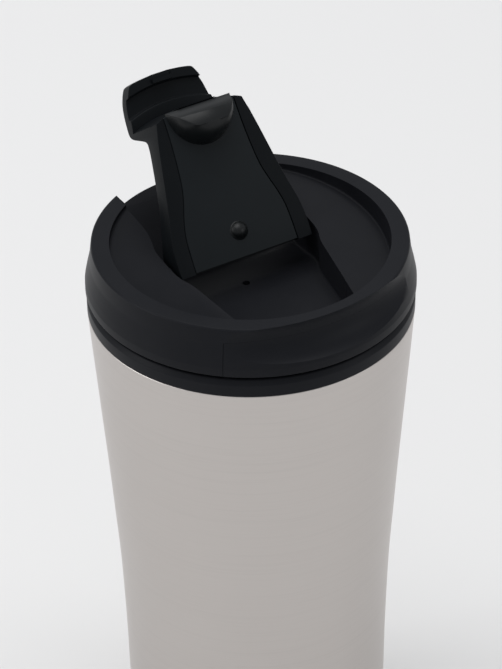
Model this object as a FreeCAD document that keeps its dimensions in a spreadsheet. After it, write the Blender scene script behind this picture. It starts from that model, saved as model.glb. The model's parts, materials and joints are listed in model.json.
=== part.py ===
import FreeCAD, Part
import math
import os

import Sketcher

# Insulated travel mug: steel shell over a plastic cup, screw lid with a flip lever.
# Frame: Z up, origin at the centre of the base on the table, drinking side towards -Y.
# All lengths are millimetres. The lever is drawn closed and turned open by its placement.

os.makedirs("parts", exist_ok=True)
doc = FreeCAD.newDocument("TravelMug")
sheet = doc.addObject("Spreadsheet::Sheet", "Params")

sizes = {
    # steel shell: outer radius at four heights and the wall
    "shellTopRadius": 42.2,
    "shellTopHeight": 150.0,
    "shellWaistRadius": 38.1,
    "shellWaistHeight": 100.0,
    "shellCurveRadius": 35.9,
    "shellCurveHeight": 70.0,
    "shellLowRadius": 34.9,
    "shellLowHeight": 45.0,
    "shellFootRadius": 34.2,
    "shellFootHeight": 8.0,
    "shellWall": 0.5,
    # collar, cup lip and cup
    "collarTopHeight": 154.1,
    "collarBore": 39.8,
    "lipRadius": 40.1,
    "lipHeight": 156.2,
    "cupRadius": 38.2,
    "cupWall": 1.55,
    "cupFloorHeight": 14.0,
    "cupFloorRadius": 28.6,
    # base
    "baseRadius": 34.2,
    "baseSkirtRadius": 33.55,
    "padRadius": 28.4,
    "padHeight": 2.4,
    # lid shell
    "lidBottomHeight": 156.0,
    "lidRadius": 42.5,
    "lidBore": 40.4,
    "lidSeatHeight": 158.8,
    "rimRadius": 40.3,
    "rimBore": 36.0,
    "rimHeight": 169.3,
    "discHeight": 164.2,
    "discDrop": 4.68,
    "discThickness": 1.8,
    "channelWall": 2.0,
    "channelFront": 34.15,
    "drinkHalf": 9.3,
    "ventRadius": 1.0,
    # threaded plug, gasket and thread
    "plugRadius": 36.8,
    "plugBore": 35.4,
    "plugFootHeight": 140.0,
    "flangeRadius": 40.2,
    "gasketRadius": 39.9,
    "threadLead": 12.0,
    "threadDepth": 0.9,
    # hinge and lever
    "hingeSetback": 7.1,
    "hingeHeight": 161.7,
    "pinRadius": 1.5,
    "pinLength": 45.6,
    "pinPlay": 0.05,
    "leverOpenAngle": 127.7,
    "leverUnderside": 156.3,
    "panelThickness": 1.6,
    "panelGap": 0.12,
    "leverEnd": 32.0,
    "grooveHeight": 171.6,
    "ribRadius": 35.55,
    "ribHeight": 170.4,
    "stopperHeight": 148.9,
    "ventPinRadius": 2.5,
}

for row, (alias, number) in enumerate(sizes.items(), start=1):
    sheet.set("A%d" % row, alias)
    sheet.set("B%d" % row, str(number))
    sheet.setAlias("B%d" % row, alias)
doc.recompute()


def cell(alias, offset=0.0, sign=1):
    # a number with the sheet expression that drives it
    number = sign * sizes[alias] + offset
    text = "%sParams.%s %+g" % ("-" if sign < 0 else "", alias, offset)
    return (number, text)


def numberOf(value):
    return value[0] if isinstance(value, tuple) else float(value)


def bind(target, prop, value):
    if isinstance(value, tuple):
        target.setExpression(prop, value[1])


planeRotations = {
    "XY_Plane": FreeCAD.Rotation(),
    "XZ_Plane": FreeCAD.Rotation(FreeCAD.Vector(1, 0, 0), 90),
    "YZ_Plane": FreeCAD.Rotation(FreeCAD.Vector(1, 1, 1), 120),
}


def arcPoints(start, middle, end, count):
    # points of the circular arc from start through middle to end, both ends included
    (ax, ay), (bx, by), (cx, cy) = start, middle, end
    twice = 2.0 * (ax * (by - cy) + bx * (cy - ay) + cx * (ay - by))
    squareA, squareB, squareC = ax * ax + ay * ay, bx * bx + by * by, cx * cx + cy * cy
    ox = (squareA * (by - cy) + squareB * (cy - ay) + squareC * (ay - by)) / twice
    oy = (squareA * (cx - bx) + squareB * (ax - cx) + squareC * (bx - ax)) / twice
    radius = math.hypot(ax - ox, ay - oy)
    first = math.atan2(ay - oy, ax - ox)
    mid = (math.atan2(by - oy, bx - ox) - first) % (2.0 * math.pi)
    last = (math.atan2(cy - oy, cx - ox) - first) % (2.0 * math.pi)
    if mid > last:
        last -= 2.0 * math.pi
    return [(ox + radius * math.cos(first + last * i / count),
             oy + radius * math.sin(first + last * i / count)) for i in range(count + 1)]


def fillSketch(sketch, points):
    # Closed loop of lines. Every corner is held by its two distances from the origin.
    count = len(points)
    corners = [FreeCAD.Vector(numberOf(p[0]), numberOf(p[1]), 0) for p in points]
    for index in range(count):
        edge = Part.LineSegment(corners[index], corners[(index + 1) % count])
        sketch.addGeometry(edge, False)
    for index in range(count):
        sketch.addConstraint(
            Sketcher.Constraint("Coincident", index, 2, (index + 1) % count, 1))
    for index, point in enumerate(points):
        for axis, kind, origin in ((0, "DistanceX", -2), (1, "DistanceY", -1)):
            value = point[axis]
            if abs(numberOf(value)) < 1e-9:
                sketch.addConstraint(Sketcher.Constraint("PointOnObject", index, 1, origin))
                continue
            number = sketch.addConstraint(
                Sketcher.Constraint(kind, -1, 1, index, 1, numberOf(value)))
            bind(sketch, "Constraints[%d]" % number, value)
    return sketch


def looseSketch(name, plane, points, height=0.0):
    sketch = doc.addObject("Sketcher::SketchObject", name)
    sketch.Placement = FreeCAD.Placement(
        FreeCAD.Vector(0, 0, numberOf(height)), planeRotations[plane])
    bind(sketch, "Placement.Base.z", height)
    fillSketch(sketch, points)
    return sketch


def turnedBody(label, points):
    # one PartDesign body: a section in the XZ plane turned about Z
    body = doc.addObject("PartDesign::Body", label)
    plane = [p for p in body.Origin.OriginFeatures if p.Role == "XZ_Plane"][0]
    sketch = body.newObject("Sketcher::SketchObject", label + "_section")
    sketch.AttachmentSupport = (plane, [""])
    sketch.MapMode = "FlatFace"
    fillSketch(sketch, points)
    doc.recompute()
    turn = body.newObject("PartDesign::Revolution", label + "_turn")
    turn.Profile = sketch
    turn.ReferenceAxis = (sketch, ["V_Axis"])
    turn.Angle = 360
    body.Tip = turn
    body.Label = label
    return body


def turned(name, points, angle=360.0, start=0.0):
    # a revolved solid about Z, started at an angle from the XZ plane
    sketch = looseSketch(name + "_section", "XZ_Plane", points)
    solid = doc.addObject("Part::Revolution", name)
    solid.Source = sketch
    solid.Axis = (0, 0, 1)
    solid.Base = (0, 0, 0)
    solid.Angle = angle
    solid.Solid = True
    solid.Placement = FreeCAD.Placement(
        FreeCAD.Vector(), FreeCAD.Rotation(FreeCAD.Vector(0, 0, 1), start))
    return solid


def extruded(name, plane, points, forward, backward=0.0, height=0.0):
    sketch = looseSketch(name + "_outline", plane, points, height)
    solid = doc.addObject("Part::Extrusion", name)
    solid.Base = sketch
    solid.DirMode = "Normal"
    solid.LengthFwd = numberOf(forward)
    solid.LengthRev = numberOf(backward)
    solid.Solid = True
    return solid


def cylinder(name, radius, length, position, direction=(0, 0, 1)):
    solid = doc.addObject("Part::Cylinder", name)
    solid.Radius = numberOf(radius)
    bind(solid, "Radius", radius)
    solid.Height = numberOf(length)
    bind(solid, "Height", length)
    solid.Placement = FreeCAD.Placement(
        FreeCAD.Vector(*[numberOf(p) for p in position]),
        FreeCAD.Rotation(FreeCAD.Vector(0, 0, 1), FreeCAD.Vector(*direction)))
    for axis, value in zip("xyz", position):
        bind(solid, "Placement.Base." + axis, value)
    return solid


def box(name, corner, edges):
    solid = doc.addObject("Part::Box", name)
    solid.Length, solid.Width, solid.Height = edges
    solid.Placement = FreeCAD.Placement(FreeCAD.Vector(*corner), FreeCAD.Rotation())
    return solid


def cut(name, base, tool):
    solid = doc.addObject("Part::Cut", name)
    solid.Base = base
    solid.Tool = tool
    return solid


def fuse(name, pieces):
    solid = doc.addObject("Part::MultiFuse", name)
    solid.Shapes = pieces
    return solid


def common(name, pieces):
    solid = doc.addObject("Part::MultiCommon", name)
    solid.Shapes = pieces
    return solid


def negative(value):
    if isinstance(value, tuple):
        return (-value[0], "-(%s)" % value[1])
    return -value


def mirroredLoop(side, front=None):
    # plan outline from its right-hand side, mirrored about the YZ plane; front is the
    # middle of the arc that joins the two sides
    left = [(negative(x), y) for x, y in reversed(side)]
    if front is None:
        return side + left
    return side + arcPoints(side[-1], front, left[0], 10)[1:-1] + left


# ---- mug body -----------------------------------------------------------------------

shellOuter = [
    (cell("shellFootRadius"), cell("shellFootHeight")),
    (cell("shellLowRadius"), cell("shellLowHeight")),
    (cell("shellLowRadius", 0.35), 57.0),
    (cell("shellCurveRadius"), cell("shellCurveHeight")),
    (cell("shellCurveRadius", 1.03), 85.0),
    (cell("shellWaistRadius"), cell("shellWaistHeight")),
    (cell("shellTopRadius"), cell("shellTopHeight")),
]
wall = sizes["shellWall"]
shellInner = [
    (cell("shellTopRadius", -1.8), cell("shellTopHeight")),
    (cell("shellTopRadius", -1.8), cell("shellTopHeight", -wall)),
    (cell("shellTopRadius", -wall - 0.04), cell("shellTopHeight", -wall)),
    (cell("shellWaistRadius", -wall), cell("shellWaistHeight")),
    (cell("shellCurveRadius", 1.03 - wall), 85.0),
    (cell("shellCurveRadius", -wall), cell("shellCurveHeight")),
    (cell("shellLowRadius", 0.35 - wall), 57.0),
    (cell("shellLowRadius", -wall), cell("shellLowHeight")),
    (cell("shellFootRadius", -wall), cell("shellFootHeight")),
]
outerShell = turnedBody("outer_shell", shellOuter + shellInner)

collarRing = turnedBody("collar_ring", [
    (cell("collarBore"), 150.0),
    (cell("collarBore", 0.4), 150.0),
    (cell("collarBore", 0.4), 150.6),
    (cell("collarBore", 1.6), 150.6),
    (cell("collarBore", 1.6), 150.0),
    (cell("shellTopRadius", -0.15), cell("shellTopHeight")),
    (cell("shellTopRadius"), cell("shellTopHeight", 0.2)),
    (cell("shellTopRadius"), cell("collarTopHeight", -0.5)),
    (cell("shellTopRadius", -0.5), cell("collarTopHeight")),
    (cell("collarBore"), cell("collarTopHeight")),
])

collarSeal = turnedBody("collar_seal", [
    (cell("collarBore", 0.45), 150.0),
    (cell("collarBore", 1.55), 150.0),
    (cell("collarBore", 1.55), 150.55),
    (cell("collarBore", 0.45), 150.55),
])

cupOuter = [
    (0, cell("cupFloorHeight", -1.8)),
    (cell("cupFloorRadius", -1.2), cell("cupFloorHeight", -1.8)),
    (cell("cupFloorRadius", 1.4), cell("cupFloorHeight", 1.2)),
    (31.4, 45.0),
    (32.6, 70.0),
    (34.8, 100.0),
    (37.1, 126.0),
    (cell("cupRadius", 1.55), 137.0),
    (cell("cupRadius", 1.55), cell("collarTopHeight")),
    (cell("lipRadius"), cell("collarTopHeight")),
    (cell("lipRadius"), cell("lipHeight", -0.4)),
    (cell("lipRadius", -0.4), cell("lipHeight")),
]
cupInner = [
    (cell("cupRadius"), cell("lipHeight")),
    (cell("cupRadius"), 138.0),
    (35.6, 127.0),
    (33.25, 100.0),
    (31.05, 70.0),
    (29.85, 45.0),
    (cell("cupFloorRadius"), cell("cupFloorHeight", 2.0)),
    (cell("cupFloorRadius", -2.0), cell("cupFloorHeight")),
    (0, cell("cupFloorHeight")),
]


def threadRidges(name, radius, depth, low, rise, starts, firstAngle):
    # helical ridges on a cylinder: depth is positive outwards, negative inwards
    root = radius - 0.25 * (1 if depth > 0 else -1)
    tip = radius + depth
    ridges = []
    for start in range(starts):
        helix = doc.addObject("Part::Helix", "%s_path_%d" % (name, start + 1))
        helix.Pitch = sizes["threadLead"]
        helix.setExpression("Pitch", "Params.threadLead")
        helix.Height = rise
        helix.Radius = radius
        helix.SegmentLength = 1.0
        turn = firstAngle + 360.0 / starts * start
        sketch = doc.addObject("Sketcher::SketchObject", "%s_tooth_%d" % (name, start + 1))
        sketch.Placement = FreeCAD.Placement(FreeCAD.Vector(), planeRotations["XZ_Plane"])
        fillSketch(sketch, [(root, -0.85), (tip, -0.35), (tip, 0.35), (root, 0.85)])
        sweep = doc.addObject("Part::Sweep", "%s_ridge_%d" % (name, start + 1))
        sweep.Sections = [sketch]
        sweep.Spine = (helix, ["Edge1"])
        sweep.Solid = True
        sweep.Frenet = True
        sweep.Placement = FreeCAD.Placement(
            FreeCAD.Vector(0, 0, low), FreeCAD.Rotation(FreeCAD.Vector(0, 0, 1), turn))
        ridges.append(sweep)
    return ridges


cupBlank = turned("cup_blank", cupOuter + cupInner)
innerLiner = fuse("inner_liner", [cupBlank] + threadRidges(
    "cup_thread", sizes["cupRadius"], -sizes["threadDepth"], 144.0, 4.6, 3, 0.0))

sleeve = turnedBody("insulation_sleeve", [
    (0, 6.0),
    (31.3, 6.0),
    (31.3, 14.6),
    (33.3, 17.0),
    (cell("shellLowRadius", -wall - 0.5), cell("shellLowHeight")),
    (cell("shellCurveRadius", -wall - 0.5), cell("shellCurveHeight")),
    (cell("shellWaistRadius", -wall - 0.5), cell("shellWaistHeight")),
    (39.2, 124.0),
    (37.4, 124.0),
    (35.15, 100.0),
    (32.95, 70.0),
    (31.75, 45.0),
    (30.4, 15.0),
    (27.6, 11.9),
    (0, 11.9),
])

baseCup = turnedBody("base_cup", [
    (0, cell("padHeight")),
    (cell("padRadius", 0.2), cell("padHeight")),
    (cell("padRadius", 0.2), 1.0),
    (cell("baseRadius", -1.2), 1.0),
    (cell("baseRadius"), 2.2),
    (cell("baseRadius"), cell("shellFootHeight")),
    (cell("baseSkirtRadius"), cell("shellFootHeight")),
    (cell("baseSkirtRadius"), 9.8),
    (cell("baseSkirtRadius", -0.8), 9.8),
    (cell("baseSkirtRadius", -0.8), 11.4),
    (cell("baseSkirtRadius"), 11.4),
    (cell("baseSkirtRadius"), 14.0),
    (31.6, 14.0),
    (31.6, 5.0),
    (0, 5.0),
])

baseSeal = turnedBody("base_seal", [
    (cell("baseSkirtRadius", -0.8), 9.9),
    (cell("baseSkirtRadius", 0.14), 9.9),
    (cell("baseSkirtRadius", 0.14), 11.3),
    (cell("baseSkirtRadius", -0.8), 11.3),
])

basePad = turnedBody("base_pad", [
    (0, 0),
    (cell("padRadius", -0.6), 0),
    (cell("padRadius"), 0.6),
    (cell("padRadius"), cell("padHeight")),
    (0, cell("padHeight")),
])

# ---- lid ----------------------------------------------------------------------------
# Distances towards the drinking side are -Y. Side profiles lie in the YZ plane.

skirt = [
    (42.2, cell("lidBottomHeight")),
    (cell("lidRadius"), cell("lidBottomHeight", 0.3)),
    (cell("lidRadius"), 158.3),
    (42.2, 160.2),
    (41.5, 163.2),
    (41.0, 166.2),
    (40.65, 168.6),
]
lidBlank = turned("lid_blank", [
    (0, 150.0),
    (34.9, 150.0),
    (34.9, cell("lidSeatHeight")),
    (cell("lidBore"), cell("lidSeatHeight")),
    (cell("lidBore"), cell("lidBottomHeight")),
] + skirt + [
    (cell("rimRadius", -0.1), cell("rimHeight")),
    (0, cell("rimHeight")),
])

discFront = (cell("discHeight", -46 * sizes["discDrop"] / 36.0))
discBack = (cell("discHeight", 46 * sizes["discDrop"] / 36.0))
aboveDisc = extruded("above_disc", "YZ_Plane", [
    (-46.0, discFront),
    (46.0, discBack),
    (46.0, 190.0),
    (-46.0, 190.0),
], 60.0, 60.0)
recess = common("lid_recess", [
    aboveDisc, cylinder("recess_bore", cell("rimBore"), 40.0, (0, 0, 150.0))])

floorLine = [
    (-36.0, 151.8),
    (-19.6, 151.8),
    (-18.6, 153.5),
    (3.0, 154.35),
    (9.0, 153.7),
    (12.6, 153.7),
    (16.5, 157.4),
    (40.3, 164.5),
    (47.0, 165.3),
]
aboveFloor = extruded("above_floor", "YZ_Plane", floorLine + [(47.0, 190.0), (-36.0, 190.0)],
                      60.0, 60.0)
channelSide = [
    (18.7, 47.0),
    (18.8, 20.0),
    (20.4, 14.5),
    (20.95, 10.5),
    (20.95, 4.0),
    (20.2, -0.5),
    (19.1, -3.4),
    (18.1, -9.0),
    (16.7, -17.0),
    (15.4, -25.0),
    (14.2, -31.0),
]
channelPlan = extruded("channel_plan", "XY_Plane",
                       mirroredLoop(channelSide, (0.0, -34.0)), 60.0, 0.0, 140.0)
channel = common("lid_channel", [channelPlan, aboveFloor])

wallOffset = sizes["channelWall"]
wallSide = [(x + wallOffset, y) for x, y in channelSide[:-1]] + [(16.4, -36.0)]
channelBlock = extruded("channel_block", "XY_Plane", mirroredLoop(wallSide), 60.0, 0.0, 140.0)
belowDisc = extruded("below_disc", "YZ_Plane", [
    (-46.0, (discFront[0] - 1.8, discFront[1] + " - Params.discThickness")),
    (46.0, (discBack[0] - 1.8, discBack[1] + " - Params.discThickness")),
    (46.0, 140.0),
    (-46.0, 140.0),
], 60.0, 60.0)
cavityBore = cylinder("cavity_bore", 35.0, 40.0, (0, 0, 140.0))
cavitySides = cut("cavity_sides", common("cavity_top", [belowDisc, cavityBore]), channelBlock)
underLine = [(y, z - 1.6) for y, z in floorLine]
belowFloor = extruded("below_floor", "YZ_Plane", underLine + [(47.0, 130.0), (-36.0, 130.0)],
                      60.0, 60.0)
cavityUnder = common("cavity_under", [
    belowFloor, cylinder("under_bore", 35.0, 40.0, (0, 0, 130.0))])

lipSection = [
    (37.6, 159.2),
    (40.7, 159.2),
    (40.7, cell("lidBottomHeight")),
    (42.2, cell("lidBottomHeight")),
    (42.55, cell("lidBottomHeight", 0.3)),
    (42.55, 158.3),
    (42.25, 160.2),
    (41.55, 163.2),
    (41.2, 165.4),
    (37.6, 165.4),
]
lipPocketSection = [(r + 0.6, z) if numberOf(r) > 41 else (r, z) for r, z in lipSection]
lipPocket = turned("lip_pocket", lipPocketSection, 82.0, -131.0)
scoop = doc.addObject("Part::Torus", "lip_scoop")
scoop.Radius1 = 61.9
scoop.Radius2 = 7.5
scoop.Placement = FreeCAD.Placement(FreeCAD.Vector(0, 16.2, 166.0), FreeCAD.Rotation())
scoopNear = common("lip_scoop_near", [
    scoop, box("scoop_zone", (-40, -60, 150), (80, 60, 40))])

hinge = FreeCAD.Vector(0, sizes["hingeSetback"], sizes["hingeHeight"])
pinHole = cylinder("pin_hole", cell("pinRadius"), cell("pinLength"),
                   (-22.8, cell("hingeSetback"), cell("hingeHeight")), (1, 0, 0))
drinkHole = extruded("drink_hole", "XY_Plane", arcPoints(
    (sizes["drinkHalf"], -32.1), (0.0, -21.6), (-sizes["drinkHalf"], -32.1), 16),
    20.0, 0.0, 145.0)
ventHole = cylinder("vent_hole", cell("ventRadius"), 20.0, (0, 2.4, 145.0))

lidShell = lidBlank
for index, tool in enumerate([recess, channel, cavitySides, cavityUnder, lipPocket, scoopNear,
                              pinHole, drinkHole, ventHole]):
    lidShell = cut("lid_stage_%d" % (index + 1), lidShell, tool)
lidShell.Label = "lid_shell"

lipPanel = cut("lip_panel", turned("lip_blank", lipSection, 81.5, -130.75), scoopNear)

plugBlank = turned("plug_blank", [
    (cell("plugBore"), cell("plugFootHeight")),
    (cell("plugRadius", -0.5), cell("plugFootHeight")),
    (cell("plugRadius"), cell("plugFootHeight", 0.5)),
    (cell("plugRadius"), 157.6),
    (cell("flangeRadius"), 157.6),
    (cell("flangeRadius"), cell("lidSeatHeight")),
    (cell("plugBore"), cell("lidSeatHeight")),
])
lidPlug = fuse("lid_plug", [plugBlank] + threadRidges(
    "plug_thread", sizes["plugRadius"], sizes["threadDepth"], 142.0, 4.6, 3, 0.0))

lidGasket = turnedBody("lid_gasket", [
    (cell("plugRadius", 0.2), cell("lipHeight", 0.02)),
    (cell("gasketRadius"), cell("lipHeight", 0.02)),
    (cell("gasketRadius"), 157.58),
    (cell("plugRadius", 0.2), 157.58),
])

hingePin = cylinder("hinge_pin", cell("pinRadius"), cell("pinLength"),
                    (-22.8, cell("hingeSetback"), cell("hingeHeight")), (1, 0, 0))

# ---- lever, drawn closed --------------------------------------------------------------

underLow = 156.3
underEnd = 154.74
leverSideLine = [
    (9.6, cell("leverUnderside")),
    (-33.4, underEnd - 0.06),
    (-33.4, 162.4),
    (-43.6, 162.4),
    (-43.6, 173.4),
    (-42.4, 174.4),
    (-36.0, 174.3),
    (-31.5, 173.9),
    (-29.6, 173.0),
    (-28.4, 171.0),
    (-27.4, 166.5),
    (-26.4, 162.6),
    (-24.5, 161.4),
    (-20.0, 161.0),
    (-12.0, 161.1),
    (-5.0, 161.7),
    (0.0, 162.5),
    (4.0, 163.8),
    (6.5, 164.4),
    (8.6, 164.3),
    (9.6, 163.4),
]
leverSide = extruded("lever_side", "YZ_Plane", leverSideLine, 60.0, 60.0)
leverPlanSide = [
    (19.6, 12.0),
    (19.6, 7.0),
    (19.2, 1.0),
    (17.5, -7.0),
    (16.2, -13.0),
    (15.2, -18.5),
    (13.9, -25.0),
    (12.9, -29.0),
    (12.2, -31.5),
    (11.9, -34.0),
    (11.4, -37.0),
    (10.6, -39.4),
    (9.2, -41.8),
]
leverPlan = extruded("lever_plan", "XY_Plane",
                     mirroredLoop(leverPlanSide, (0.0, -42.9)), 60.0, 0.0, 140.0)
leverBlank = common("lever_blank", [leverPlan, leverSide])

headRing = turned("head_ring", [
    (0, 150.0),
    (47.0, 150.0),
    (47.0, 170.2),
    (40.3, 170.2),
    (40.3, cell("grooveHeight")),
    (cell("ribRadius"), cell("grooveHeight")),
    (cell("ribRadius"), cell("ribHeight")),
    (0, cell("ribHeight")),
])
bladeKeep = common("blade_keep", [
    cylinder("blade_bore", 32.4, 60.0, (0, 0, 140.0)),
    box("blade_zone", (-40, -32.0, 140), (80, 72, 60))])
headTool = cut("head_tool", headRing, bladeKeep)
headFront = common("head_front", [headTool, box("head_zone", (-40, -60, 140), (80, 60, 60))])

panelSide = [
    (15.4, 12.0),
    (15.3, 5.0),
    (14.9, -1.0),
    (13.5, -6.0),
    (11.9, -11.0),
    (11.0, -18.0),
    (10.6, -27.0),
    (10.5, -31.9),
]
panelPlan = extruded("panel_plan", "XY_Plane", mirroredLoop(panelSide), 60.0, 0.0, 140.0)
slope = (underLow - underEnd + 0.06) / 42.6
panelTopLine = [
    (9.3, underLow + 1.66),
    (-31.9, underLow + 1.66 - slope * 41.2),
    (-31.9, 150.0),
    (9.3, 150.0),
]
panelBand = extruded("panel_band", "YZ_Plane", panelTopLine, 60.0, 60.0)
panelPocket = common("panel_pocket", [panelPlan, panelBand])
hollowLine = [
    (1.5, underLow + 1.3),
    (-29.2, underLow + 1.3 - slope * 30.0),
    (-29.2, 160.4),
    (-24.5, 159.9),
    (-20.0, 159.6),
    (-12.0, 159.7),
    (-5.0, 160.3),
    (1.5, 161.0),
]
hollow = common("lever_hollow", [
    panelPlan, extruded("hollow_side", "YZ_Plane", hollowLine, 60.0, 60.0)])
leverBore = cylinder("lever_bore", (sizes["pinRadius"] + sizes["pinPlay"],
                                    "Params.pinRadius + Params.pinPlay"),
                     60.0, (-30.0, cell("hingeSetback"), cell("hingeHeight")), (1, 0, 0))
tab = box("snap_tab", (-2.9, -41.6, 169.4), (5.8, 1.0, 1.2))
flipLever = leverBlank
for index, tool in enumerate([headFront, panelPocket, hollow, leverBore]):
    flipLever = cut("lever_stage_%d" % (index + 1), flipLever, tool)
flipLever = fuse("lever_with_tab", [flipLever, tab])
flipLever.Label = "flip_lever"

gap = sizes["panelGap"]
panelInner = [(x - gap, y) for x, y in panelSide]
panelInner[-1] = (panelInner[-1][0], -31.6)
leverPanel = common("lever_panel", [
    extruded("panel_inner", "XY_Plane", mirroredLoop(panelInner), 60.0, 0.0, 140.0),
    cylinder("panel_bound", 32.3, 60.0, (0, 0, 140.0)),
    extruded("panel_slab", "YZ_Plane", [
        (9.15, cell("leverUnderside")),
        (-31.8, underLow - slope * 41.0),
        (-31.8, underLow + 1.6 - slope * 41.0),
        (9.15, cell("leverUnderside", 1.6)),
    ], 60.0, 60.0)])

aboveUnderside = extruded("above_underside", "YZ_Plane", [
    (20.0, underLow + slope * 10.8),
    (-40.0, underLow - slope * 49.2),
    (-40.0, 180.0),
    (20.0, 180.0),
], 60.0, 60.0)
stopperBase = looseSketch(
    "stopper_base", "XY_Plane",
    arcPoints((9.6, -31.6), (0.0, -20.9), (-9.6, -31.6), 14), 156.5)
stopperEnd = looseSketch(
    "stopper_end", "XY_Plane",
    arcPoints((6.9, -28.2), (0.0, -23.6), (-6.9, -28.2), 14), cell("stopperHeight"))
stopperLoft = doc.addObject("Part::Loft", "stopper_loft")
stopperLoft.Sections = [stopperBase, stopperEnd]
stopperLoft.Solid = True
stopperLoft.Ruled = True
spoutStopper = cut("spout_stopper", stopperLoft, aboveUnderside)

ventBall = doc.addObject("Part::Sphere", "vent_ball")
ventBall.Radius = sizes["ventPinRadius"]
ventBall.setExpression("Radius", "Params.ventPinRadius")
ventBall.Placement = FreeCAD.Placement(FreeCAD.Vector(0, 2.4, 157.1), FreeCAD.Rotation())
ventStopper = cut("vent_stopper", ventBall, aboveUnderside)

doc.recompute()
opening = FreeCAD.Rotation(FreeCAD.Vector(1, 0, 0), -sizes["leverOpenAngle"])
openPlacement = FreeCAD.Placement(FreeCAD.Vector(), opening, hinge)
for piece in (flipLever, leverPanel, spoutStopper, ventStopper):
    piece.Placement = openPlacement
doc.recompute()

nodes = [outerShell, innerLiner, collarRing, collarSeal, sleeve, baseCup, baseSeal, basePad,
         lidShell, lidPlug, lipPanel, hingePin, lidGasket,
         flipLever, leverPanel, spoutStopper, ventStopper]
for item in doc.Objects:
    if "Invalid" in item.State or "Error" in item.State:
        raise RuntimeError("failed: %s %s" % (item.Name, item.State))
for node in nodes:
    shape = node.Shape
    if shape.isNull() or not shape.isValid() or not shape.Solids:
        raise RuntimeError("bad shape: " + node.Label)
    print("%-18s solids %d volume %9.1f" % (node.Label, len(shape.Solids), shape.Volume))
for node in nodes:
    node.Shape.exportStep("parts/%s.step" % node.Label)
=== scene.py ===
import json
import math

import bmesh
import bpy
from mathutils import Matrix, Vector


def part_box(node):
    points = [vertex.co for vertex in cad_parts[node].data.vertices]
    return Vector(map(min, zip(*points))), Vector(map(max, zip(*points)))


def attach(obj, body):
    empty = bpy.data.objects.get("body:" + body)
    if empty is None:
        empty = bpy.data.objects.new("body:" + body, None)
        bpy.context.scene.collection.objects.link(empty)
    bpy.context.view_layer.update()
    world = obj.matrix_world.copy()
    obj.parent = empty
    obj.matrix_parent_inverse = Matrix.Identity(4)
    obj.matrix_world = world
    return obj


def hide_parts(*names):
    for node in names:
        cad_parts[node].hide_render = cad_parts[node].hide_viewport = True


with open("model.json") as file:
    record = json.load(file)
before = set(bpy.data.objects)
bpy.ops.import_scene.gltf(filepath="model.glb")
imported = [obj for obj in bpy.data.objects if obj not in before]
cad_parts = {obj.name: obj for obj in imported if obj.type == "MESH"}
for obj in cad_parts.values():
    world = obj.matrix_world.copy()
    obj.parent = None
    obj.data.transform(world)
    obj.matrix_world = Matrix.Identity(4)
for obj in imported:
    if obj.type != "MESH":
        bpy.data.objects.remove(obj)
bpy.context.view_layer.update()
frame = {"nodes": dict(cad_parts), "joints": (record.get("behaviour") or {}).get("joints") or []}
scene = bpy.context.scene

# shapes are worked in millimetres and scaled to metres when a piece is finished
joints = {joint["name"]: joint for joint in frame["joints"]}
hingePoint = Vector(joints["lever_flip"]["pos_m"]) * 1000.0
openAngle = 127.7  # degrees the open lever stands back from the closed one
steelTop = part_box("outer_shell")[1][2] * 1000.0
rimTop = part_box("lid_shell")[1][2] * 1000.0
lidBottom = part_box("lip_panel")[0][2] * 1000.0
ventAlong = 2.4  # the vent's distance along Y, in the lid and on the lever


cameraSet = {
    "turn": 31.0,        # degrees round the mug from the drinking side, to its left
    "height": 35.15,     # degrees above the table
    "roll": -0.9,
    "distance": 1100.0,
    "lens": 230.1,
    "across": 0.06,
    "down": -8.6,
}


def placeCamera(values):
    turn, height, roll = (math.radians(values[k]) for k in ("turn", "height", "roll"))
    right = Vector((math.cos(turn), -math.sin(turn), 0.0))
    forward = Vector((math.cos(height) * math.sin(turn), math.cos(height) * math.cos(turn),
                      -math.sin(height)))
    up = right.cross(forward)
    tiltedRight = math.cos(roll) * right + math.sin(roll) * up
    tiltedUp = -math.sin(roll) * right + math.cos(roll) * up
    place = Vector((0.0, 0.0, steelTop)) - values["across"] * tiltedRight
    place += values["down"] * tiltedUp - values["distance"] * forward
    matrix = Matrix((tiltedRight, tiltedUp, -forward)).transposed().to_4x4()
    matrix.translation = place * 0.001
    data = bpy.data.cameras.new("camera")
    data.lens = values["lens"]
    data.sensor_width = 36.0
    data.clip_end = 20.0
    camera = bpy.data.objects.new("camera", data)
    scene.collection.objects.link(camera)
    camera.matrix_world = matrix
    scene.camera = camera


placeCamera(cameraSet)


def objectFrom(name, bm):
    mesh = bpy.data.meshes.new(name)
    bm.to_mesh(mesh)
    bm.free()
    made = bpy.data.objects.new(name, mesh)
    scene.collection.objects.link(made)
    return made


def cleaned(bm):
    bmesh.ops.remove_doubles(bm, verts=bm.verts, dist=1e-4)
    bmesh.ops.recalc_face_normals(bm, faces=bm.faces)
    return bm


def rounded(points, steps=4):
    # corners given as (r, z, radius) become short arcs
    result = []
    count = len(points)
    for index, point in enumerate(points):
        radius = point[2] if len(point) > 2 else 0.0
        here = Vector(point[:2])
        if radius <= 0.0:
            result.append(tuple(here))
            continue
        before = (Vector(points[index - 1][:2]) - here)
        after = (Vector(points[(index + 1) % count][:2]) - here)
        half = before.angle(after) / 2.0
        reach = min(radius / math.tan(half), 0.49 * before.length, 0.49 * after.length)
        radius = reach * math.tan(half)
        centre = here + (before.normalized() + after.normalized()).normalized() * (
            radius / math.sin(half))
        first = here + before.normalized() * reach - centre
        last = here + after.normalized() * reach - centre
        sweep = first.angle_signed(last)
        for step in range(steps + 1):
            arm = first.copy()
            arm.rotate(Matrix.Rotation(-sweep * step / steps, 2))
            result.append(tuple(centre + arm))
    return result


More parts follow.
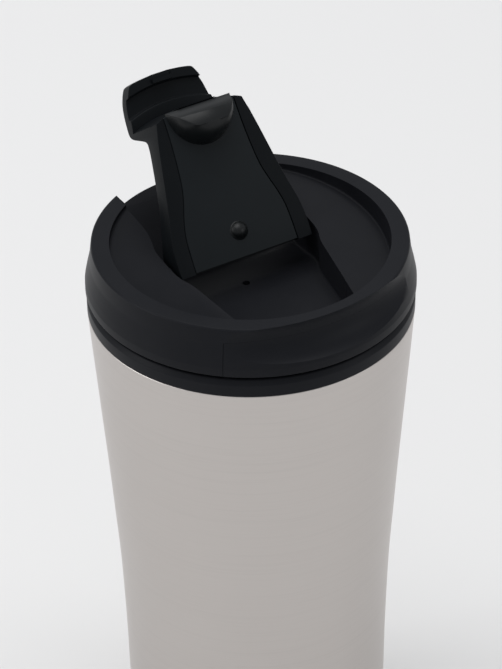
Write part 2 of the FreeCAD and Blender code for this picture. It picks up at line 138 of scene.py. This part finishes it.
def turnedShape(name, profile, turn=360.0, start=0.0, steps=256):
    # a section (r, z) spun about Z; a section that starts and ends on the axis is left open
    bm = bmesh.new()
    points = [bm.verts.new((r, 0.0, z)) for r, z in profile]
    onAxis = profile[0][0] == 0.0 and profile[-1][0] == 0.0
    pairs = list(zip(points, points[1:])) + ([] if onAxis else [(points[-1], points[0])])
    edges = [bm.edges.new(pair) for pair in pairs]
    bmesh.ops.rotate(bm, verts=bm.verts, cent=(0, 0, 0),
                     matrix=Matrix.Rotation(math.radians(start), 3, "Z"))
    bmesh.ops.spin(bm, geom=points + edges, cent=(0, 0, 0), axis=(0, 0, 1), dvec=(0, 0, 0),
                   angle=math.radians(turn), steps=steps, use_merge=turn == 360.0,
                   use_duplicate=False)
    if turn != 360.0:
        bmesh.ops.holes_fill(bm, edges=[e for e in bm.edges if e.is_boundary], sides=0)
    return objectFrom(name, cleaned(bm))


def smoothRows(rows, steps):
    # Catmull-Rom rows between the given ones
    result = []
    for index in range(len(rows) - 1):
        near = [rows[max(index - 1, 0)], rows[index], rows[index + 1],
                rows[min(index + 2, len(rows) - 1)]]
        for step in range(steps):
            s = step / steps
            row = []
            for a, b, c, d in zip(*near):
                row.append(0.5 * (2 * b + (c - a) * s + (2 * a - 5 * b + 4 * c - d) * s * s
                                  + (3 * b - a - 3 * c + d) * s ** 3))
            result.append(tuple(row))
    return result + [tuple(rows[-1])]


def loftedShape(name, rows, lowBevel=0.0, highBevel=0.0):
    # rows (y, half width, low z, high z): a box section extruded row by row along Y
    bm = bmesh.new()
    y, half, low, high = rows[0]
    ring = [bm.verts.new(p) for p in ((-half, y, low), (half, y, low), (half, y, high),
                                      (-half, y, high))]
    bm.faces.new(ring)
    chains = [[v] for v in ring]
    for y, half, low, high in rows[1:]:
        edges = [bm.edges.get((ring[i], ring[(i + 1) % 4])) for i in range(4)]
        made = bmesh.ops.extrude_edge_only(bm, edges=edges)["geom"]
        fresh = [v for v in made if isinstance(v, bmesh.types.BMVert)]
        ring = [min(fresh, key=lambda v, o=old: (v.co - o.co).length) for old in ring]
        for vert, place in zip(ring, ((-half, y, low), (half, y, low), (half, y, high),
                                      (-half, y, high))):
            vert.co = place
        for chain, vert in zip(chains, ring):
            chain.append(vert)
    bm.faces.new(ring[::-1])
    bmesh.ops.recalc_face_normals(bm, faces=bm.faces)
    for picked, width, segments in ((chains[:2], lowBevel, 3), (chains[2:], highBevel, 6)):
        if width > 0.0:
            edges = [bm.edges.get(pair) for chain in picked for pair in zip(chain, chain[1:])]
            bmesh.ops.bevel(bm, geom=edges, offset=width, offset_type="OFFSET",
                            segments=segments, profile=0.5, affect="EDGES", material=-1,
                            clamp_overlap=True)
    return objectFrom(name, cleaned(bm))


def drum(name, radius, low, high, place=(0.0, 0.0), steps=256, axis="Z"):
    bm = bmesh.new()
    bmesh.ops.create_cone(bm, cap_ends=True, segments=steps, radius1=radius, radius2=radius,
                          depth=high - low)
    if axis == "X":
        bmesh.ops.rotate(bm, verts=bm.verts, matrix=Matrix.Rotation(math.pi / 2, 3, "Y"))
        bmesh.ops.translate(bm, verts=bm.verts, vec=((low + high) / 2, place[0], place[1]))
    else:
        bmesh.ops.translate(bm, verts=bm.verts, vec=(place[0], place[1], (low + high) / 2))
    return objectFrom(name, bm)


def block(name, low, high):
    bm = bmesh.new()
    bmesh.ops.create_cube(bm, size=1.0)
    size = [b - a for a, b in zip(low, high)]
    middle = [(a + b) / 2 for a, b in zip(low, high)]
    bmesh.ops.scale(bm, verts=bm.verts, vec=size)
    bmesh.ops.translate(bm, verts=bm.verts, vec=middle)
    return objectFrom(name, bm)


def ringShape(name, major, minor, place, steps=320, around=72):
    bm = bmesh.new()
    bmesh.ops.create_circle(bm, cap_ends=False, segments=around, radius=minor)
    bmesh.ops.rotate(bm, verts=bm.verts, matrix=Matrix.Rotation(math.pi / 2, 3, "X"))
    bmesh.ops.translate(bm, verts=bm.verts, vec=(major, 0, 0))
    bmesh.ops.spin(bm, geom=bm.verts[:] + bm.edges[:], cent=(0, 0, 0), axis=(0, 0, 1),
                   dvec=(0, 0, 0), angle=2 * math.pi, steps=steps, use_merge=True)
    bmesh.ops.translate(bm, verts=bm.verts, vec=place)
    return objectFrom(name, cleaned(bm))


def carve(target, tool, operation="DIFFERENCE", keepTool=False):
    change = target.modifiers.new("carve", "BOOLEAN")
    change.object = tool
    change.operation = operation
    change.solver = "EXACT"
    evaluated = target.evaluated_get(bpy.context.evaluated_depsgraph_get())
    mesh = bpy.data.meshes.new_from_object(evaluated)
    target.modifiers.clear()
    old, target.data = target.data, mesh
    bpy.data.meshes.remove(old)
    if not keepTool:
        bpy.data.objects.remove(tool)


def finishPiece(piece, body, stands, material, edge=0.25, segments=3, angle=30.0,
                opened=False):
    # to metres, opened about the hinge if it belongs to the lever, edges softened
    if opened:
        swing = Matrix.Rotation(math.radians(-openAngle), 4, "X")
        piece.data.transform(Matrix.Translation(hingePoint) @ swing
                             @ Matrix.Translation(-hingePoint))
    piece.data.transform(Matrix.Scale(0.001, 4))
    piece.data.materials.clear()
    piece.data.materials.append(material)
    for polygon in piece.data.polygons:
        polygon.use_smooth = True
        polygon.material_index = 0
    if edge > 0.0:
        soft = piece.modifiers.new("edges", "BEVEL")
        soft.width = edge * 0.001
        soft.segments = segments
        soft.limit_method = "ANGLE"
        soft.angle_limit = math.radians(angle)
        soft.use_clamp_overlap = True
        soft.miter_outer = "MITER_ARC"
        soft.harden_normals = True
    else:
        piece.data.set_sharp_from_angle(angle=math.radians(angle))
    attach(piece, body)
    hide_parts(*stands)


def nodeMaterial(name):
    material = bpy.data.materials.new(name)
    material.use_nodes = True
    tree = material.node_tree
    shader = tree.nodes["Principled BSDF"]
    coordinates = tree.nodes.new("ShaderNodeTexCoord")
    return material, tree, shader, coordinates


def stretchedNoise(tree, coordinates, stretch, scale, detail=3.0, rough=0.6):
    mapping = tree.nodes.new("ShaderNodeMapping")
    mapping.inputs["Scale"].default_value = stretch
    tree.links.new(coordinates.outputs["Object"], mapping.inputs["Vector"])
    noise = tree.nodes.new("ShaderNodeTexNoise")
    noise.inputs["Scale"].default_value = scale
    noise.inputs["Detail"].default_value = detail
    noise.inputs["Roughness"].default_value = rough
    tree.links.new(mapping.outputs["Vector"], noise.inputs["Vector"])
    return noise.outputs["Fac"]


def ramped(tree, source, stops):
    ramp = tree.nodes.new("ShaderNodeValToRGB")
    elements = ramp.color_ramp.elements
    while len(elements) < len(stops):
        elements.new(0.5)
    for element, (place, colour) in zip(elements, stops):
        element.position = place
        element.color = tuple(colour) + (1.0,)
    tree.links.new(source, ramp.inputs["Fac"])
    return ramp.outputs["Color"]


def spread(tree, source, low, high):
    span = tree.nodes.new("ShaderNodeMapRange")
    span.inputs["To Min"].default_value = low
    span.inputs["To Max"].default_value = high
    tree.links.new(source, span.inputs["Value"])
    return span.outputs["Result"]


def bumped(tree, shader, sources):
    # several heights, each (socket, strength, distance in metres), one after another
    last = None
    for source, strength, distance in sources:
        bump = tree.nodes.new("ShaderNodeBump")
        bump.inputs["Strength"].default_value = strength
        bump.inputs["Distance"].default_value = distance
        tree.links.new(source, bump.inputs["Height"])
        if last is not None:
            tree.links.new(last, bump.inputs["Normal"])
        last = bump.outputs["Normal"]
    tree.links.new(last, shader.inputs["Normal"])


plasticSet = {
    "colour": (0.0090, 0.0096, 0.0118),
    "lighter": (0.0110, 0.0116, 0.0140),
    "roughness": (0.36, 0.44),
    "grain": 2600.0,
    "specular": 0.075,
}


def plasticMaterial(name, values):
    material, tree, shader, coordinates = nodeMaterial(name)
    cloud = stretchedNoise(tree, coordinates, (1, 1, 1), 45.0, 4.0)
    grain = stretchedNoise(tree, coordinates, (1, 1, 1), values["grain"], 2.0)
    colour = ramped(tree, cloud, [(0.3, values["colour"]), (0.75, values["lighter"])])
    tree.links.new(colour, shader.inputs["Base Color"])
    tree.links.new(spread(tree, cloud, *values["roughness"]), shader.inputs["Roughness"])
    shader.inputs["Specular IOR Level"].default_value = values.get("specular", 0.5)
    bumped(tree, shader, [(cloud, 0.10, 0.0004), (grain, 0.12, 0.00006)])
    return material


steelSet = {
    "colour": (0.595, 0.560, 0.535),
    "darker": (0.500, 0.470, 0.450),
    "roughness": (0.30, 0.42),
    "anisotropy": 0.6,
}


def steelMaterial(name, values):
    material, tree, shader, coordinates = nodeMaterial(name)
    fine = stretchedNoise(tree, coordinates, (40, 40, 7000), 1.0, 3.0)
    long = stretchedNoise(tree, coordinates, (12, 12, 1500), 1.0, 4.0, 0.7)
    cloud = stretchedNoise(tree, coordinates, (1, 1, 1), 18.0, 3.0)
    mixed = tree.nodes.new("ShaderNodeMath")
    mixed.operation = "ADD"
    tree.links.new(fine, mixed.inputs[0])
    tree.links.new(long, mixed.inputs[1])
    halved = spread(tree, mixed.outputs["Value"], 0.0, 0.5)
    colour = ramped(tree, halved, [(0.2, values["darker"]), (0.8, values["colour"])])
    tree.links.new(colour, shader.inputs["Base Color"])
    tree.links.new(spread(tree, cloud, *values["roughness"]), shader.inputs["Roughness"])
    shader.inputs["Metallic"].default_value = 1.0
    shader.inputs["Anisotropic"].default_value = values["anisotropy"]
    tangent = tree.nodes.new("ShaderNodeTangent")
    tangent.direction_type = "RADIAL"
    tangent.axis = "Z"
    tree.links.new(tangent.outputs["Tangent"], shader.inputs["Tangent"])
    bumped(tree, shader, [(fine, 0.12, 0.00003), (long, 0.10, 0.00006)])
    return material


blackPlastic = plasticMaterial("black_plastic", plasticSet)
leverPlastic = plasticMaterial("lever_plastic", {
    "colour": (0.0044, 0.0054, 0.0064), "lighter": (0.0058, 0.0070, 0.0082),
    "roughness": (0.40, 0.48), "grain": 2600.0, "specular": 0.06})
panelPlastic = plasticMaterial("panel_plastic", {
    "colour": (0.0060, 0.0080, 0.0094), "lighter": (0.0078, 0.0100, 0.0116),
    "roughness": (0.44, 0.52), "grain": 2600.0, "specular": 0.12})
softRubber = plasticMaterial("soft_rubber", {
    "colour": (0.0040, 0.0050, 0.0056), "lighter": (0.0055, 0.0065, 0.0072),
    "roughness": (0.34, 0.42), "grain": 1800.0, "specular": 0.25})
paleRubber = plasticMaterial("pale_rubber", {
    "colour": (0.42, 0.42, 0.41), "lighter": (0.50, 0.50, 0.49),
    "roughness": (0.50, 0.60), "grain": 1800.0})
foam = plasticMaterial("foam", {
    "colour": (0.62, 0.58, 0.48), "lighter": (0.72, 0.68, 0.58),
    "roughness": (0.8, 0.95), "grain": 900.0})
brushedSteel = steelMaterial("brushed_steel", steelSet)
print("materials made")


shellSet = {"wall": 0.5}
shellLine = smoothRows([(34.2, 8.0), (34.5, 26.0), (34.9, 45.0), (35.35, 58.0), (35.95, 71.0),
                        (36.9, 84.0), (38.1, 100.0), (39.75, 120.0), (41.4, 140.0)], 6)
shellLine += [(42.05, 148.2), (42.17, 149.4), (42.2, steelTop - 0.12), (42.1, steelTop)]
shellProfile = shellLine + [(40.5, steelTop), (40.5, 149.55), (41.5, 149.4)]
shellProfile += [(r - shellSet["wall"], z) for r, z in reversed(shellLine[:-4])]
outerShell = turnedShape("outer_shell_look", shellProfile, steps=256)
finishPiece(outerShell, "mug", ["outer_shell"], brushedSteel, edge=0.0)

collarSet = {"inner": 39.85, "step": 40.35, "top": 154.9}
collarProfile = rounded([
    (collarSet["inner"], 150.02), (42.05, 150.02, 0.15), (42.2, 150.3, 0.1),
    (42.25, 153.4, 0.6), (41.4, collarSet["top"], 0.7), (collarSet["step"], 154.8),
    (collarSet["step"], 154.1), (collarSet["inner"], 154.1)])
collar = turnedShape("collar_ring_look", collarProfile)
finishPiece(collar, "mug", ["collar_ring"], blackPlastic, edge=0.0, angle=50)
print("mug body made")


lidSet = {
    "rimInner": 36.0,
    "discHeight": 164.2,
    "discSlope": 0.13,
}
skirtLine = [(42.15, lidBottom, 0.2), (42.5, lidBottom + 0.35, 0.3), (42.5, 158.5, 0.8),
             (42.1, 160.6, 6.0), (41.2, 164.6, 10.0), (40.7, 168.9, 0.4), (40.35, rimTop, 0.25)]
lidProfile = [(0.0, 150.2), (34.9, 150.2), (34.9, 158.8), (40.4, 158.8)]
lidProfile += rounded([(40.4, lidBottom)] + skirtLine + [(0.0, rimTop)])
lid = turnedShape("lid_shell_look", lidProfile, steps=288)


def discAt(y):
    return lidSet["discHeight"] + lidSet["discSlope"] * y


def tilted(name, radius, bevel, offset=0.0, floor=True):
    # a drum whose low end (or high end) follows the disc's slope
    tool = drum(name, radius, 100.0, 190.0)
    bm = bmesh.new()
    bm.from_mesh(tool.data)
    for vert in bm.verts:
        if (vert.co.z < 140.0) == floor:
            vert.co.z = discAt(vert.co.y) + offset
    if bevel > 0.0:
        edges = [e for e in bm.edges if all(abs(v.co.z - discAt(v.co.y) - offset) < 1e-3
                                            for v in e.verts)]
        bmesh.ops.bevel(bm, geom=edges, offset=bevel, offset_type="OFFSET", segments=4,
                        profile=0.5, affect="EDGES", material=-1)
    bm.to_mesh(tool.data)
    bm.free()
    return tool


channelRows = [  # distance along Y, half width, floor height
    (47.0, 18.7, 165.4), (40.0, 18.7, 164.4), (30.0, 18.7, 161.4), (21.0, 18.75, 158.7),
    (16.5, 19.6, 157.1), (13.0, 20.7, 154.1), (10.0, 20.95, 153.7), (7.0, 20.95, 153.9),
    (3.0, 20.9, 154.3), (0.0, 20.4, 154.25), (-3.4, 19.1, 154.1),
    (-9.0, 18.1, 153.9), (-17.0, 16.8, 153.55), (-18.8, 16.5, 153.45), (-19.8, 16.3, 151.85),
    (-25.0, 15.4, 151.8), (-30.0, 14.5, 151.8), (-33.8, 13.7, 151.8)]
channelTool = loftedShape("channel_tool", [
    (y, half, low, 190.0) for y, half, low in smoothRows(channelRows, 4)], lowBevel=0.9)
trough = drum("trough_bound", 34.15, 140.0, 200.0)
behind = block("behind_bound", (-60, -5, 130), (60, 60, 210))
carve(trough, behind, "UNION")
carve(channelTool, trough, "INTERSECT")

wallRows = smoothRows([(y, half + 2.0, 140.0, 200.0) for y, half, low in channelRows], 2)
underTool = tilted("under_tool", 34.5, 0.0, -1.8, floor=False)
carve(underTool, loftedShape("wall_keep", wallRows))
carve(lid, tilted("recess_tool", lidSet["rimInner"], 0.5))
carve(lid, channelTool)
carve(lid, underTool)

scoopSet = {"major": 61.9, "minor": 7.5, "place": (0.0, 16.2, 166.0)}
pocket = turnedShape("lip_pocket", [
    (37.6, 159.2), (40.7, 159.2), (40.7, 150.0), (45.0, 150.0), (45.0, 165.4), (37.6, 165.4)],
    turn=82.0, start=-131.0, steps=96)
carve(lid, pocket)
scoopTool = ringShape("scoop_tool", scoopSet["major"], scoopSet["minor"], scoopSet["place"])
carve(scoopTool, block("front_half", (-60, -80, 140), (60, -10, 190)), "INTERSECT")
carve(lid, scoopTool, keepTool=True)
carve(lid, drum("vent_tool", 1.0, 140.0, 170.0, (0.0, ventAlong), 48))
carve(lid, drum("pin_tool", 1.5, -22.8, 22.8, (hingePoint.y, hingePoint.z), 48, "X"))
drinkTool = drum("drink_tool", 9.37, 140.0, 160.0, (0.0, -30.97), 96)
carve(drinkTool, block("drink_bound", (-12, -32.1, 130), (12, -20, 170)), "INTERSECT")
carve(lid, drinkTool)
finishPiece(lid, "lid", ["lid_shell"], blackPlastic, edge=0.28)

lipSection = rounded([
    (37.7, 159.2), (40.7, 159.2), (40.7, lidBottom), (42.2, lidBottom, 0.2),
    (42.55, lidBottom + 0.35, 0.3), (42.55, 158.5, 0.8), (42.15, 160.6, 6.0), (41.25, 164.6, 8.0),
    (41.15, 165.36), (37.7, 165.36)])
lipPanel = turnedShape("lip_panel_look", lipSection, turn=81.7, start=-130.85, steps=128)
carve(lipPanel, scoopTool)
finishPiece(lipPanel, "lid", ["lip_panel"], blackPlastic, edge=0.10)
print("lid made")


leverSet = {"underside": 156.3, "slope": 0.0381, "edgeRadius": 2.3}


def underAt(y):
    return leverSet["underside"] + leverSet["slope"] * (y - 9.6)


leverRows = [  # distance along Y, half width, top surface
    (9.6, 19.5, 163.4), (8.6, 19.55, 164.3), (6.5, 19.55, 164.4), (4.0, 19.45, 163.8),
    (0.0, 19.05, 162.5), (-5.0, 17.9, 161.7), (-12.0, 16.4, 161.1), (-20.0, 14.9, 161.0),
    (-24.5, 14.0, 161.4), (-26.4, 13.6, 162.6), (-27.4, 13.3, 166.5), (-28.4, 13.05, 171.0),
    (-29.6, 12.75, 173.0), (-31.5, 12.3, 173.9), (-34.2, 11.9, 174.25), (-37.0, 11.4, 174.3),
    (-39.0, 10.75, 174.3), (-40.8, 9.9, 174.3), (-41.9, 9.0, 174.0), (-42.5, 6.0, 173.8),
    (-42.85, 2.4, 173.7)]
smoothLever = [(y, half, underAt(max(y, -33.4)), top)
               for y, half, top in smoothRows(leverRows, 3)]
lever = loftedShape("flip_lever_look", smoothLever, lowBevel=1.5,
                    highBevel=leverSet["edgeRadius"])
headTool = turnedShape("head_tool", rounded([
    (0.0, 140.0), (47.0, 140.0), (47.0, 170.2), (40.3, 170.2, 0.3), (40.3, 171.6, 0.5),
    (35.55, 171.6, 0.3), (35.4, 170.4, 0.5), (0.0, 170.4)]), steps=256)
carve(headTool, block("head_front", (-60, -60, 130), (60, -20, 200)), "INTERSECT")
bladeKeep = drum("blade_keep", 32.4, 130.0, 200.0)
carve(bladeKeep, block("blade_front", (-60, -32.0, 120), (60, 60, 210)), "INTERSECT")
carve(headTool, bladeKeep)
carve(lever, headTool)

panelRows = [  # distance along Y and half width of the inner panel
    (12.0, 15.4), (5.0, 15.3), (0.0, 15.0), (-4.0, 14.1), (-8.0, 12.8), (-12.0, 11.7),
    (-18.0, 11.0), (-25.0, 10.6), (-31.9, 10.5)]
smoothPanel = smoothRows(panelRows, 4)
pocketTool = loftedShape("panel_pocket", [
    (y, half, 150.0, underAt(y) + 1.66) for y, half in smoothPanel])
carve(lever, pocketTool)
hollowTool = loftedShape("lever_hollow", [
    (y, half, underAt(y) + 1.2, 159.6) for y, half in smoothPanel if -29.3 < y < 1.6])
carve(lever, hollowTool)
carve(lever, drum("lever_bore", 1.55, -30.0, 30.0, (hingePoint.y, hingePoint.z), 48, "X"))
carve(lever, block("snap_tab", (-2.9, -41.6, 169.4), (2.9, -40.6, 170.6)), "UNION")
finishPiece(lever, "lever", ["flip_lever"], leverPlastic, edge=0.22,
            opened=True)

panel = loftedShape("lever_panel_look", [
    (y, half - 0.22, underAt(y), underAt(y) + 1.6)
    for y, half in [(9.2, 15.4)] + [row for row in smoothPanel if -31.6 < row[0] < 8.9]
    + [(-31.6, 10.5)]], lowBevel=0.2)
carve(panel, drum("panel_bound", 32.3, 130.0, 200.0), "INTERSECT")
finishPiece(panel, "lever", ["lever_panel"], panelPlastic, edge=0.12,
            opened=True)
print("lever made")


stopperSet = {
    "root": 9.6,          # half width where it leaves the panel
    "rootBack": -31.6,
    "rootFront": -20.9,
    "tip": 148.9,
    "tipHalf": 7.2,
    "tipBack": -28.6,
    "tipFront": -23.4,
    "round": 3.2,
}


def stopperShape(name, values):
    # a D outline drawn in from its root on the panel and rounded over at its tip
    bm = bmesh.new()
    bmesh.ops.create_circle(bm, cap_ends=True, segments=128, radius=1.0)
    bmesh.ops.bisect_plane(bm, geom=bm.verts[:] + bm.edges[:] + bm.faces[:],
                           plane_co=(0, 0, 0), plane_no=(0, -1, 0), clear_outer=True)
    corners = [v for v in bm.verts if abs(v.co.x) > 0.999 and v.co.y < 0.001]
    bmesh.ops.bevel(bm, geom=corners, offset=0.04, offset_type="OFFSET", segments=4,
                    profile=0.5, affect="VERTICES", material=-1, clamp_overlap=True)
    rootHeight = underAt(-26.0)
    rings = [(rootHeight + (values["tip"] + values["round"] - rootHeight) * k / 4, 0.0)
             for k in range(5)]
    rings += [(values["tip"] + values["round"] * (1 - math.sin(math.radians(a))),
               values["round"] * (1 - math.cos(math.radians(a)))) for a in range(9, 91, 9)]
    face = bm.faces[:]
    for level in range(1, len(rings)):
        made = bmesh.ops.extrude_face_region(bm, geom=face)["geom"]
        for vert in [v for v in made if isinstance(v, bmesh.types.BMVert)]:
            vert.co.z = level
        inner = [f for f in face if f.is_valid and level > 1]
        bmesh.ops.delete(bm, geom=inner, context="FACES_ONLY")
        face = [f for f in made if isinstance(f, bmesh.types.BMFace)]
    for vert in bm.verts:
        height, inset = rings[round(vert.co.z)]
        drawn = (rootHeight - height) / (rootHeight - values["tip"])
        half = values["root"] + (values["tipHalf"] - values["root"]) * drawn - inset
        back = values["rootBack"] + (values["tipBack"] - values["rootBack"]) * drawn
        front = values["rootFront"] + (values["tipFront"] - values["rootFront"]) * drawn
        depthInset = min(inset, (front - back) / 2 - 0.1)
        depth = front - back - 2 * depthInset
        vert.co = (vert.co.x * half, back + depthInset + vert.co.y * depth, height)
        if inset == 0.0 and drawn < 0.01:
            vert.co.z = underAt(vert.co.y) + 0.02
    bmesh.ops.recalc_face_normals(bm, faces=bm.faces)
    return objectFrom(name, cleaned(bm))


spoutStopper = stopperShape("spout_stopper_look", stopperSet)
finishPiece(spoutStopper, "lever", ["spout_stopper"], softRubber,
            edge=0.0, angle=60, opened=True)

ventSet = {"radius": 2.5, "height": 157.1}
ventFoot = underAt(ventAlong)
ventLine = [(0.0, ventFoot + 0.3), (2.6, ventFoot + 0.3), (2.55, ventFoot - 0.02),
            (2.24, ventFoot - 0.18)]
ventLine += [(ventSet["radius"] * math.cos(math.radians(a)),
              ventSet["height"] - ventSet["radius"] * math.sin(math.radians(a)))
             for a in range(26, 90, 8)]
ventLine += [(0.0, ventSet["height"] - ventSet["radius"])]
ventStopper = turnedShape("vent_stopper_look", ventLine, steps=64)
ventStopper.data.transform(Matrix.Translation((0, ventAlong, 0)))
finishPiece(ventStopper, "lever", ["vent_stopper"], softRubber, edge=0.0,
            angle=60, opened=True)
print("stoppers made")


keptFinish = {
    "inner_liner": blackPlastic,
    "collar_seal": softRubber,
    "insulation_sleeve": foam,
    "base_cup": blackPlastic,
    "base_seal": softRubber,
    "base_pad": softRubber,
    "lid_plug": blackPlastic,
    "hinge_pin": blackPlastic,
    "lid_gasket": paleRubber,
}
for nodeName, material in keptFinish.items():
    kept = frame["nodes"][nodeName]
    if not kept.material_slots:
        kept.data.materials.append(material)
    for slot in kept.material_slots:
        slot.material = material


studioSet = {"floor": (0.74, 0.735, 0.73), "world": 0.55}


def makeFloor(values):
    bm = bmesh.new()
    bmesh.ops.create_grid(bm, x_segments=4, y_segments=4, size=6.0)
    floor = objectFrom("floor", bm)
    material, tree, shader, coordinates = nodeMaterial("floor_paper")
    cloud = stretchedNoise(tree, coordinates, (1, 1, 1), 2.0, 2.0)
    colour = values["floor"]
    tree.links.new(ramped(tree, cloud, [(0.3, colour), (0.7, [c * 1.004 for c in colour])]),
                   shader.inputs["Base Color"])
    shader.inputs["Roughness"].default_value = 0.9
    shader.inputs["Specular IOR Level"].default_value = 0.1
    floor.data.materials.append(material)


def makeLamp(name, place, target, size, power):
    data = bpy.data.lights.new(name, "AREA")
    data.shape = "RECTANGLE"
    data.size, data.size_y = size
    data.energy = power
    lamp = bpy.data.objects.new(name, data)
    scene.collection.objects.link(lamp)
    lamp.location = place
    lamp.rotation_euler = (Vector(target) - Vector(place)).to_track_quat("-Z", "Y").to_euler()


makeFloor(studioSet)
world = bpy.data.worlds.new("studio")
world.use_nodes = True
world.node_tree.nodes["Background"].inputs["Color"].default_value = (0.95, 0.97, 1.0, 1.0)
world.node_tree.nodes["Background"].inputs["Strength"].default_value = studioSet["world"]
scene.world = world
makeLamp("overhead", (0.0, 0.3, 2.4), (0, 0.3, 0.0), (2.0, 2.0), 35.0)
makeLamp("side", (-1.3, 0.5, 0.7), (0, 0, 0.13), (0.5, 1.2), 5.0)
makeLamp("right_card", (0.62, -0.77, 0.42), (0.1, -0.1, 0.0), (0.35, 0.5), 0.9)
makeLamp("left_card", (-0.99, 0.12, 0.42), (-0.1, 0, 0.0), (0.35, 0.5), 0.7)
scene.view_settings.view_transform = "Standard"
print("studio made")
